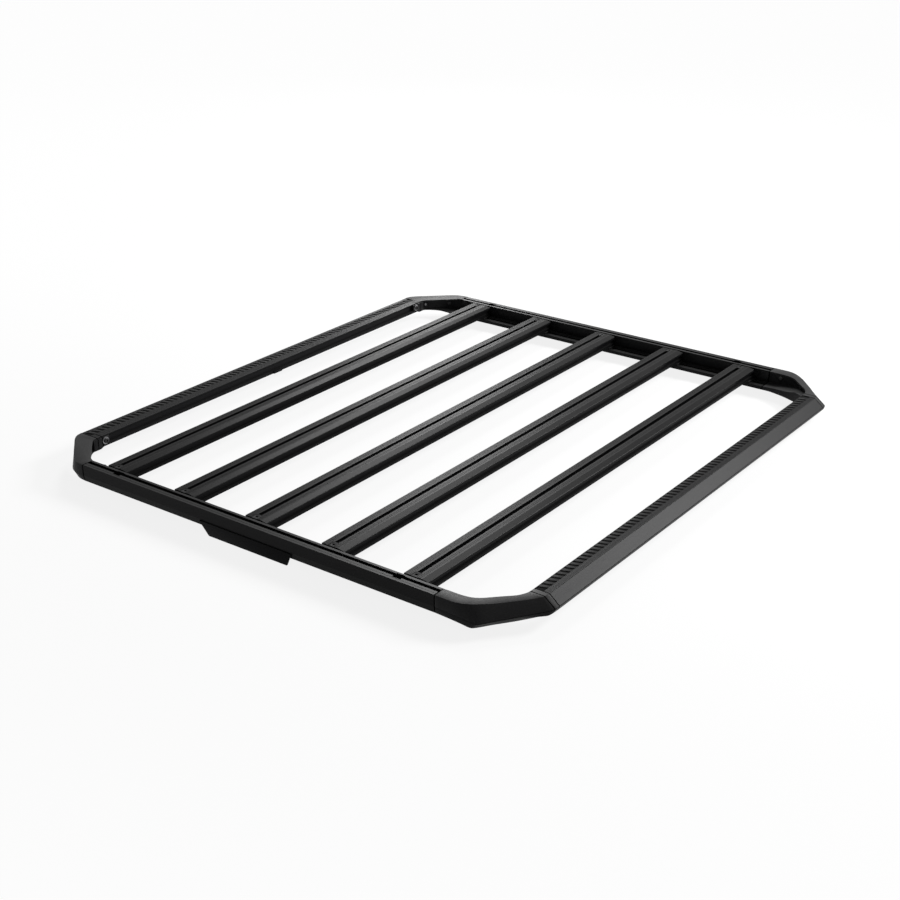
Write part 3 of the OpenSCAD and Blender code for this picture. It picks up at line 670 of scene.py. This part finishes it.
@dataclass(frozen=True)
class Softbox:
    """An area lamp: where it stands, what it points at, its size and its power."""

    name: str
    place: tuple[float, float, float]
    target: tuple[float, float, float]
    size: tuple[float, float]
    power: float

    def build(self) -> None:
        """Adds the lamp."""
        Bench.clear()
        bpy.ops.object.light_add(type="AREA", location=self.place)
        lamp = bpy.context.object
        lamp.name = self.name
        lamp.data.shape = "RECTANGLE"
        lamp.data.size, lamp.data.size_y = self.size
        lamp.data.energy = self.power
        aim = Vector(self.target) - Vector(self.place)
        lamp.rotation_euler = aim.to_track_quat("-Z", "Y").to_euler()


@dataclass
class Studio:
    """The pale floor, the white surroundings, the lamps and the camera."""

    camera_place: tuple[float, float, float] = (1.9739, -2.7354, 1.4810)
    azimuth: float = 36.38
    elevation: float = 24.198
    lens: float = 60.01
    sensor: float = 36.0
    floor_radius: float = 60.0
    floor_tone: float = 0.9
    near_glow: float = 0.85
    far_glow: float = 0.98
    glow_from: float = 1.0
    glow_to: float = 2.2
    fill: float = 0.15

    def build(self) -> None:
        """Sets up everything around the rack."""
        bpy.context.scene.view_settings.view_transform = "Standard"
        self._floor()
        self._surroundings()
        for box in self._softboxes():
            box.build()
        self._camera()
        LOG.info("studio ready")

    @staticmethod
    def _seen(tree: bpy.types.NodeTree) -> bpy.types.NodeSocket:
        """Adds the mask of rays that see the background, directly or in a reflection.

        Args:
            tree: The node tree of a material or of the world.

        Returns:
            The mask's output socket.
        """
        path = tree.nodes.new("ShaderNodeLightPath")
        either = math_node(tree, "MAXIMUM", path.outputs["Is Camera Ray"],
                           path.outputs["Is Glossy Ray"])
        return math_node(tree, "MAXIMUM", either, path.outputs["Is Transmission Ray"])

    def _floor(self) -> None:
        """Lays the floor: pale, near white to the eye, with the rack's soft shadow on it."""
        Bench.clear()
        bpy.ops.mesh.primitive_circle_add(vertices=96, radius=self.floor_radius,
                                          fill_type="NGON", location=(0.0, 0.0, 0.0))
        floor = bpy.context.object
        floor.name = "floor"
        material = bpy.data.materials.new("floor_paper")
        material.use_nodes = True
        nodes, links = material.node_tree.nodes, material.node_tree.links
        shader = nodes["Principled BSDF"]
        shader.inputs["Base Color"].default_value = (*[self.floor_tone] * 3, 1.0)
        shader.inputs["Roughness"].default_value = 1.0
        shader.inputs["Specular IOR Level"].default_value = 0.0
        glow = nodes.new("ShaderNodeEmission")
        glow.inputs["Strength"].default_value = 1.0
        place = nodes.new("ShaderNodeTexCoord")
        away = nodes.new("ShaderNodeVectorMath")
        away.operation = "LENGTH"
        spread = nodes.new("ShaderNodeMapRange")
        spread.inputs["From Min"].default_value = self.glow_from
        spread.inputs["From Max"].default_value = self.glow_to
        spread.inputs["To Min"].default_value = self.near_glow
        spread.inputs["To Max"].default_value = self.far_glow
        mix = nodes.new("ShaderNodeMixShader")
        links.new(place.outputs["Object"], away.inputs[0])
        links.new(away.outputs["Value"], spread.inputs["Value"])
        share = math_node(material.node_tree, "MULTIPLY", self._seen(material.node_tree),
                          spread.outputs["Result"])
        links.new(share, mix.inputs["Fac"])
        links.new(shader.outputs["BSDF"], mix.inputs[1])
        links.new(glow.outputs["Emission"], mix.inputs[2])
        links.new(mix.outputs["Shader"], nodes["Material Output"].inputs["Surface"])
        floor.data.materials.append(material)

    def _surroundings(self) -> None:
        """Makes the world white where it is seen, and a soft fill where it lights."""
        world = bpy.data.worlds.new("surroundings")
        world.use_nodes = True
        bpy.context.scene.world = world
        nodes, links = world.node_tree.nodes, world.node_tree.links
        fill = nodes["Background"]
        fill.inputs["Color"].default_value = (1.0, 1.0, 1.0, 1.0)
        fill.inputs["Strength"].default_value = self.fill
        white = nodes.new("ShaderNodeBackground")
        white.inputs["Color"].default_value = (1.0, 1.0, 1.0, 1.0)
        white.inputs["Strength"].default_value = 1.0
        mix = nodes.new("ShaderNodeMixShader")
        links.new(self._seen(world.node_tree), mix.inputs["Fac"])
        links.new(fill.outputs["Background"], mix.inputs[1])
        links.new(white.outputs["Background"], mix.inputs[2])
        links.new(mix.outputs["Shader"], nodes["World Output"].inputs["Surface"])

    def _softboxes(self) -> list[Softbox]:
        """Lists the lamps.

        Returns:
            An upright strip behind on the left, whose reflection runs across the tops of the
            rails and slats, a higher box over it, and the main box behind on the right, which
            the front rail's sloping face reflects.
        """
        middle = (0.0, -0.1, 0.05)
        return [
            Softbox("strip_box", (-2.44, 3.17, 1.95), middle, (0.75, 1.8), 66.0),
            Softbox("high_box", (-1.4, 2.75, 3.1), middle, (1.2, 0.8), 70.0),
            Softbox("main_box", (2.3, 2.9, 2.35), (0.5, -0.1, 0.05), (1.4, 1.2), 250.0),
        ]

    def _camera(self) -> None:
        """Sets the camera where the photograph was taken from."""
        Bench.clear()
        bpy.ops.object.camera_add(location=self.camera_place)
        camera = bpy.context.object
        camera.data.sensor_width = self.sensor
        camera.data.lens = self.lens
        turn = math.radians(self.azimuth)
        rise = math.radians(self.elevation)
        back = Vector((math.sin(turn) * math.cos(rise), -math.cos(turn) * math.cos(rise),
                       math.sin(rise)))
        camera.rotation_euler = (-back).to_track_quat("-Z", "Y").to_euler()
        bpy.context.scene.camera = camera


def main() -> None:
    """Builds the studio and the rack, sub-assembly by sub-assembly."""
    logging.basicConfig(level=logging.INFO, format="%(name)s: %(message)s")
    finishes = Finishes()
    Studio().build()
    Extrusions(finishes).dress()
    Castings(finishes).build()
    SmallParts(finishes).build()


if __name__ == "__main__":
    main()
